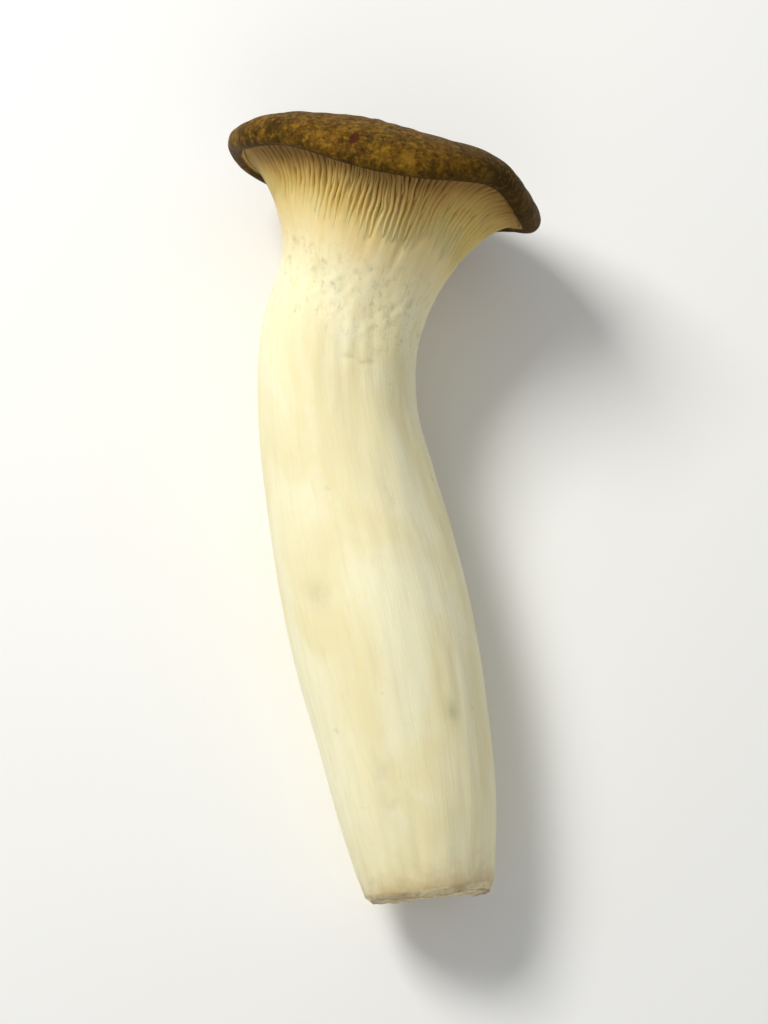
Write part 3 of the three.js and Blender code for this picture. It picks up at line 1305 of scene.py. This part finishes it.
@dataclass(frozen=True)
class Texture:
    """A noise that a finish reads."""

    name: str
    scale: float  # how many waves it has in a metre
    detail: float  # how many finer layers it has
    rough: float  # how strong each finer layer is
    warp: float = 0.0  # how far it is warped
    along: float = 1.0  # how fast it changes along the fibres, which is 1 where it doesn't follow them
    relief: float = 0.0  # how much it raises the surface
    within: str = ""  # the value that holds its relief back, by name

    def read(self, graph: Graph) -> Value:
        """Adds its nodes.

        Args:
            graph: The material's graph.

        Returns:
            The texture.
        """
        place = graph.place()
        if self.along != 1.0:
            place = graph.vector("MULTIPLY", graph.attribute("grain", "Vector"), (1.0, 1.0, self.along))
        wanted = {"Vector": place, "Scale": self.scale, "Detail": self.detail}
        wanted |= {"Roughness": self.rough, "Distortion": self.warp}
        return graph.node("ShaderNodeTexNoise", {}, wanted, "Fac")

    def height(self, values: Mapping[str, Value]) -> Value:
        """Gives how much it raises the surface, from the finish's values by name."""
        raised = values[self.name] * self.relief
        return raised * values[self.within] if self.within else raised


@dataclass(frozen=True)
class Layer:
    """A colour that is laid over those before it."""

    colour: Colour
    follows: str  # the value that it follows, by name
    low: float  # the value at which it begins, which is over high where it covers what is low
    high: float  # the value at which it has its full share
    share: float = 1.0  # that share
    within: str = ""  # the value that holds it back, by name

    def over(self, base: Value | Colour, values: Mapping[str, Value]) -> Value:
        """Lays it over a colour.

        Args:
            base: The colour.
            values: The finish's values, by name.

        Returns:
            The mixed colour.
        """
        value = values[self.follows]
        mask = value.graph.rise(value, self.low, self.high) * self.share
        return value.graph.mix(mask * values[self.within] if self.within else mask, base, self.colour)


@dataclass(frozen=True)
class Finish:
    """A procedural finish: textures, and colours that follow them."""

    name: str
    base: Colour
    textures: tuple[Texture, ...]
    layers: tuple[Layer, ...]  # the colours over the plain one, in their order
    coarse: str  # the texture that makes it rougher, by name
    bump: float  # what a relief of 1 stands for, in metres
    sunk: float  # how much of the light sinks in
    depth: float  # how far that light travels inside, in metres
    # How far each colour does so, as shares of the depth
    reach: tuple[float, float, float] = (1.0, 0.72, 0.4)
    specular: float = 0.35
    smoothest: float = 0.5  # its least roughness
    rougher: float = 0.3  # how much rougher it is where that texture is high
    strength: float = 0.85  # how strongly the relief shows

    def masks(self, graph: Graph, values: Mapping[str, Value]) -> dict[str, Value]:
        """Gives what the layers follow besides the textures, by name.

        Args:
            graph: The material's graph.
            values: The textures, by name.

        Returns:
            The further values.
        """
        raise NotImplementedError

    def build(self) -> bpy.types.Material:
        """Makes the material.

        Returns:
            The material.
        """
        material = bpy.data.materials.new(self.name)
        material.use_nodes = True
        shader = material.node_tree.nodes[SHADER]
        shader.inputs["Subsurface Weight"].default_value = self.sunk
        shader.inputs["Subsurface Scale"].default_value = self.depth
        shader.inputs["Subsurface Radius"].default_value = self.reach
        shader.inputs["Specular IOR Level"].default_value = self.specular
        graph = Graph(material.node_tree)
        values = {texture.name: texture.read(graph) for texture in self.textures}
        values |= self.masks(graph, values)
        colour = self.base
        for layer in self.layers:
            colour = layer.over(colour, values)
        heights = [texture.height(values) for texture in self.textures if texture.relief]
        bump = {"Strength": self.strength, "Distance": self.bump, "Height": sum(heights[1:], heights[0])}
        graph.feed(shader, "Base Color", colour)
        graph.feed(shader, "Roughness", self.smoothest + self.rougher * values[self.coarse])
        graph.feed(shader, "Normal", graph.node("ShaderNodeBump", {}, bump))
        return material


@dataclass(frozen=True)
class FleshFinish(Finish):
    """Cream flesh with long fibres, tan gills with painted shade under the lip, and brown at the cut
    foot.
    """

    PALE = shade(249, 242, 206)
    GREY = shade(160, 156, 124)
    # BROWN is painted shade, in the gaps between the gills and under the lip
    BROWN = shade(173, 128, 53)

    name: str = "flesh"
    base: Colour = shade(241, 231, 184)
    textures: tuple[Texture, ...] = (
        Texture("fibres", 1000.0, 4.0, 0.62, 0.3, along=0.06, relief=0.4),
        Texture("threads", 3000.0, 3.0, 0.6, along=0.04, relief=0.28),
        Texture("strokes", 620.0, 4.0, 0.6, 0.4, along=0.16, relief=0.35),
        Texture("clouds", 95.0, 4.0, 0.55, 0.6, along=0.45),
        Texture("flecks", 800.0, 5.0, 0.68, 0.3, along=0.75),
        Texture("patches", 260.0, 5.0, 0.62),
        Texture("felt", 4800.0, 3.0, 0.6, relief=0.18),
    )
    layers: tuple[Layer, ...] = (
        # Fibrous flesh
        Layer(PALE, "clouds", 0.36, 0.66),
        Layer(shade(224, 206, 148), "fibres", 0.48, 0.74, 0.18),
        Layer(GREY, "strokes", 0.6, 0.76, 0.11),
        # Gills, which are tan up the flare, with painted shade between them and under the lip
        Layer(shade(227, 197, 114), "up", 0.12, 0.7, 0.95),
        # Painted shade in the gaps between the gills, which spares their crests
        Layer(BROWN, "up", 0.4, 0.8, 0.22, "painted_gap_shade"),
        # Painted shade under the lip, darkest at the tops of the gills
        Layer(BROWN, "up", 0.54, 0.92, 0.75),
        Layer(shade(104, 70, 24), "up", 0.72, 1.0, 0.55),
        # The flecked neck
        Layer(shade(186, 177, 128), "flecks", 0.5, 0.72, 0.5, "neck"),
        Layer(PALE, "flecks", 0.46, 0.28, 0.5, "neck"),
        # Dents, blotches and the browned foot
        Layer(GREY, "patches", 0.3, 0.6, 0.7, "mark"),
        Layer(GREY, "patches", 0.64, 0.8, 0.3),
        Layer(shade(186, 156, 98), "foot", 0.2, 1.0, 0.8),
    )
    coarse: str = "fibres"
    bump: float = 0.17 * MM
    sunk: float = 0.4
    depth: float = 1.5 * MM
    smoothest: float = 0.45
    # Between which places across the mushroom the painted shade on its left side fades out, in metres
    left: tuple[float, float] = (-24 * MM, -7 * MM)
    # The distances from the neck between which its flecks begin, in metres
    neck_low: tuple[float, float] = (-9 * MM, 1 * MM)
    # The distances from the neck between which they end, in metres
    neck_high: tuple[float, float] = (8 * MM, 14 * MM)
    up_clouds: float = 0.5  # how far the clouds move the gills' colours up and down the flare
    up_fibres: float = 0.15  # how far the fibres do so
    left_shade_shift: float = 0.14  # how far down they are moved on the left, which paints shade there
    crest: float = 0.85  # how much of the painted shade in the gaps a gill's crest is spared
    foot_patches: float = 0.7  # how far the patches move the edge of the browned foot

    def masks(self, graph: Graph, values: Mapping[str, Value]) -> dict[str, Value]:
        """Gives how far up the gills a place is, the painted shade in their gaps, and how far it is at
        the neck and at the foot.

        Args:
            graph: The material's graph.
            values: The textures, by name.

        Returns:
            The further values, by name.
        """
        clouds, fibres, patches = (values[name] - 0.5 for name in ("clouds", "fibres", "patches"))
        across, _, _ = graph.axes(graph.place())
        _, _, path = graph.axes(graph.attribute("grain", "Vector"))
        # Painted shade on the left, which moves the tan and brown further down there
        left = 1.0 - graph.rise(across, *self.left)
        up = graph.attribute("flare") + clouds * self.up_clouds + fibres * self.up_fibres
        return {
            "up": up + left * self.left_shade_shift,
            "painted_gap_shade": 1.0 - self.crest * graph.attribute("height"),
            "neck": graph.rise(path, *self.neck_low) * (1.0 - graph.rise(path, *self.neck_high)),
            "mark": graph.attribute("mark"),
            "foot": graph.attribute("foot") + patches * self.foot_patches,
        }


@dataclass(frozen=True)
class CapFinish(Finish):
    """Matt olive-brown skin, mottled and finely streaked from the crown, which ends under the lip."""

    BROWN = shade(108, 75, 12)
    DARK = shade(51, 36, 5)
    PALE = shade(158, 119, 36)

    name: str = "cap_skin"
    base: Colour = blend(DARK, BROWN, 0.16)
    textures: tuple[Texture, ...] = (
        Texture("streaks", 700.0, 5.0, 0.65, along=0.12, relief=0.5, within="calm"),
        Texture("mottle", 170.0, 6.0, 0.66, 1.1, relief=0.4),
        Texture("specks", 950.0, 5.0, 0.72, relief=0.45),
    )
    layers: tuple[Layer, ...] = (
        # Mottled and speckled skin
        Layer(BROWN, "mottle", 0.34, 0.66),
        Layer(PALE, "streaks", 0.46, 0.72, 0.45, "calm"),
        Layer(DARK, "specks", 0.5, 0.66, 0.78),
        Layer(PALE, "specks", 0.5, 0.32, 0.6),
        # The right side, darker partly as painted shade and partly in the skin, the bruises, painted
        # shade along the rim, and the flesh under the lip
        Layer(DARK, "right", -2 * MM, 30 * MM, 0.55),
        Layer(shade(66, 28, 12), "mark", 0.1, 0.5, 0.9),
        # Painted shade where the lip rolls under
        Layer(DARK, "rim", 0.15, 0.7, 0.5),
        Layer(shade(212, 182, 114), "under", 0.86, 1.0),
    )
    coarse: str = "specks"
    bump: float = 0.22 * MM
    sunk: float = 0.12
    depth: float = 0.8 * MM
    specular: float = 0.07
    # Between which values of the crown's mask the streaks fade out
    calm: tuple[float, float] = (0.1, 0.8)
    # How far the mottling moves the edge of the darker right side, which is partly painted shade, in
    # metres
    shaded_right_mottle: float = 16 * MM
    lip_shade_mottle: float = 0.5  # how far it moves the edge of the painted shade along the rim
    under_mottle: float = 0.2  # how far it moves the edge of the flesh under the lip

    def masks(self, graph: Graph, values: Mapping[str, Value]) -> dict[str, Value]:
        """Gives how far to the right, under the lip and in the bruises a place is.

        Args:
            graph: The material's graph.
            values: The textures, by name.

        Returns:
            The further values, by name.
        """
        across, _, _ = graph.axes(graph.place())
        under = graph.attribute("under")
        mottle = values["mottle"] - 0.5
        return {
            "calm": 1.0 - graph.rise(graph.attribute("crown"), *self.calm),
            # Painted shade and darker skin on the right side
            "right": across + mottle * self.shaded_right_mottle,
            "mark": graph.attribute("mark"),
            "rim": under + mottle * self.lip_shade_mottle,
            "under": under + mottle * self.under_mottle,
        }


@dataclass(frozen=True)
class CutFinish(Finish):
    """The cut foot: torn pale fibres, browned in places, with a dry rim."""

    BROWN = shade(172, 140, 90)

    name: str = "cut_foot"
    base: Colour = shade(233, 219, 176)
    textures: tuple[Texture, ...] = (
        Texture("pores", 1300.0, 5.0, 0.65, relief=1.0),
        Texture("stains", 170.0, 4.0, 0.6, 0.8, relief=0.5),
    )
    layers: tuple[Layer, ...] = (
        Layer(BROWN, "stains", 0.4, 0.7, 0.6),
        Layer(BROWN, "pores", 0.5, 0.7, 0.5),
        Layer(shade(132, 102, 62), "rim", 0.74, 1.02, 0.8),
    )
    coarse: str = "pores"
    bump: float = 0.4 * MM
    sunk: float = 0.35
    depth: float = 1.3 * MM
    specular: float = 0.4
    strength: float = 1.0
    rim_stains: float = 0.35  # how far the stains move the rim's edge

    def masks(self, graph: Graph, values: Mapping[str, Value]) -> dict[str, Value]:
        """Gives how far out on the cut face a place is."""
        return {"rim": graph.attribute("cut") + (values["stains"] - 0.5) * self.rim_stains}


# Sub-assemblies


@dataclass
class FruitBody:
    """The whole mushroom: its skin and its gills."""

    form: MushroomForm = MushroomForm()
    long_gills: Strands = Strands(  # the gills that run from the lip down to the neck
        name="gills_long",
        count=108,
        seed=3,
        segments=28,
        thickness=0.7 * MM,
        rise=0.08 * MM,
        start_least=0.99,
        length_least=0.58,
        length_most=0.74,
        head=0.02,
        tail=0.2,
        droop=0.12 * MM,
    )
    short_gills: Strands = Strands(  # the gills that start between them at the lip and end sooner
        name="gills_short",
        count=108,
        seed=5,
        segments=18,
        thickness=0.6 * MM,
        rise=-0.22 * MM,
        start_least=0.985,
        length_least=0.3,
        length_most=0.6,
        head=0.04,
        tail=0.35,
        shift=0.5,
        merge=0.75,
    )

    def build(self) -> list[bpy.types.Object]:
        """Makes every piece of the mushroom.

        Returns:
            The pieces.
        """
        flesh = FleshFinish().build()
        finishes = {Zone.CAP: CapFinish().build(), Zone.FLESH: flesh, Zone.CUT: CutFinish().build()}
        skin = Skin(self.form).build()
        for zone in Zone:
            skin.data.materials.append(finishes[zone])
        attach(skin, BODY)
        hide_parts(NODE)
        return [skin, *self.lay_gills(flesh)]

    def lay_gills(self, finish: bpy.types.Material) -> list[bpy.types.Object]:
        """Lays the gills on the flare.

        Args:
            finish: Their finish.

        Returns:
            One piece for each set.
        """
        tree = StrandTree()
        guide = Guide(self.form).build()
        made = [strands.build(guide, tree, finish) for strands in (self.long_gills, self.short_gills)]
        bpy.data.objects.remove(guide)
        for piece in made:
            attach(piece, BODY)
        return made


def add_aimed(name: str, data: bpy.types.ID, place: Vector, target: Vector) -> bpy.types.Object:
    """Adds a light or a camera that stands at a place and faces a target.

    Args:
        name: Its name.
        data: The light or camera.
        place: Where it stands.
        target: What it faces.

    Returns:
        The object.
    """
    made = add_object(name, data)
    made.location = place
    made.rotation_euler = (place - target).to_track_quat("Z", "Y").to_euler()
    return made


@dataclass(frozen=True)
class Lamp:
    """A square soft light."""

    name: str
    place: tuple[float, float, float]  # where it stands
    size: float  # the length of its side, in metres
    power: float  # its power, in watts
    colour: tuple[float, float, float]

    def build(self, target: Vector) -> None:
        """Adds it, facing a target.

        Args:
            target: What it faces.
        """
        data = bpy.data.lights.new(self.name, "AREA")
        data.shape = "SQUARE"
        data.size = self.size
        data.energy = self.power
        data.color = self.colour
        add_aimed(self.name, data, Vector(self.place), target)


@dataclass
class Studio:
    """A plain pale floor, soft light and a camera that looks down on the mushroom."""

    target: tuple[float, float, float] = (0.0, 0.0, 0.022)
    elevation: float = math.radians(80)  # the camera's height angle over the table, in radians
    distance: float = 1.05  # how far away it is
    lens: float = 200.0  # its focal length, in millimetres
    floor_size: float = 6.0
    floor_colour: Colour = shade(245, 245, 243)
    floor_rough: float = 0.85
    lamps: tuple[Lamp, ...] = (  # a key light from the upper left and a weak fill
        Lamp("key", (-0.33, 0.34, 0.56), 0.26, 4.2, (1.0, 0.985, 0.95)),
        Lamp("fill", (0.1, -0.5, 0.6), 0.6, 0.5, (0.98, 0.99, 1.0)),
    )
    sky: Colour = (0.98, 0.99, 1.0, 1.0)  # the colour of the pale surround
    sky_light: float = 0.36  # how bright it is

    def build(self) -> None:
        """Makes the floor, the lights and the camera."""
        self.build_floor()
        for lamp in self.lamps:
            lamp.build(Vector(self.target))
        self.build_sky()
        self.build_camera()

    def build_floor(self) -> None:
        """Makes the floor."""
        corners = np.array([(-0.5, -0.5, 0.0), (0.5, -0.5, 0.0), (0.5, 0.5, 0.0), (-0.5, 0.5, 0.0)])
        floor = mesh_object("floor", self.floor_size * corners, [(0, 1, 2, 3)])
        material = bpy.data.materials.new("floor")
        material.use_nodes = True
        shader = material.node_tree.nodes[SHADER]
        shader.inputs["Base Color"].default_value = self.floor_colour
        shader.inputs["Roughness"].default_value = self.floor_rough
        floor.data.materials.append(material)

    def build_sky(self) -> None:
        """Makes the surround."""
        world = bpy.data.worlds.new("surround")
        world.use_nodes = True
        background = world.node_tree.nodes["Background"]
        background.inputs["Color"].default_value = self.sky
        background.inputs["Strength"].default_value = self.sky_light
        bpy.context.scene.world = world
        bpy.context.scene.view_settings.view_transform = "Standard"

    def build_camera(self) -> None:
        """Adds the camera."""
        data = bpy.data.cameras.new("camera")
        data.lens = self.lens
        target = Vector(self.target)
        away = Vector((0.0, -math.cos(self.elevation), math.sin(self.elevation)))
        bpy.context.scene.camera = add_aimed("camera", data, target + self.distance * away, target)


def main() -> None:
    """Builds the mushroom and its studio, and reports each piece."""
    logging.basicConfig(level=logging.INFO, format="%(name)s: %(message)s")
    for piece in FruitBody().build():
        triangles = sum(len(polygon.vertices) - 2 for polygon in piece.data.polygons)
        LOG.info("%s: %d triangles, %.1f mm long", piece.name, triangles, piece.dimensions.y / MM)
    Studio().build()


if __name__ == "__main__":
    main()
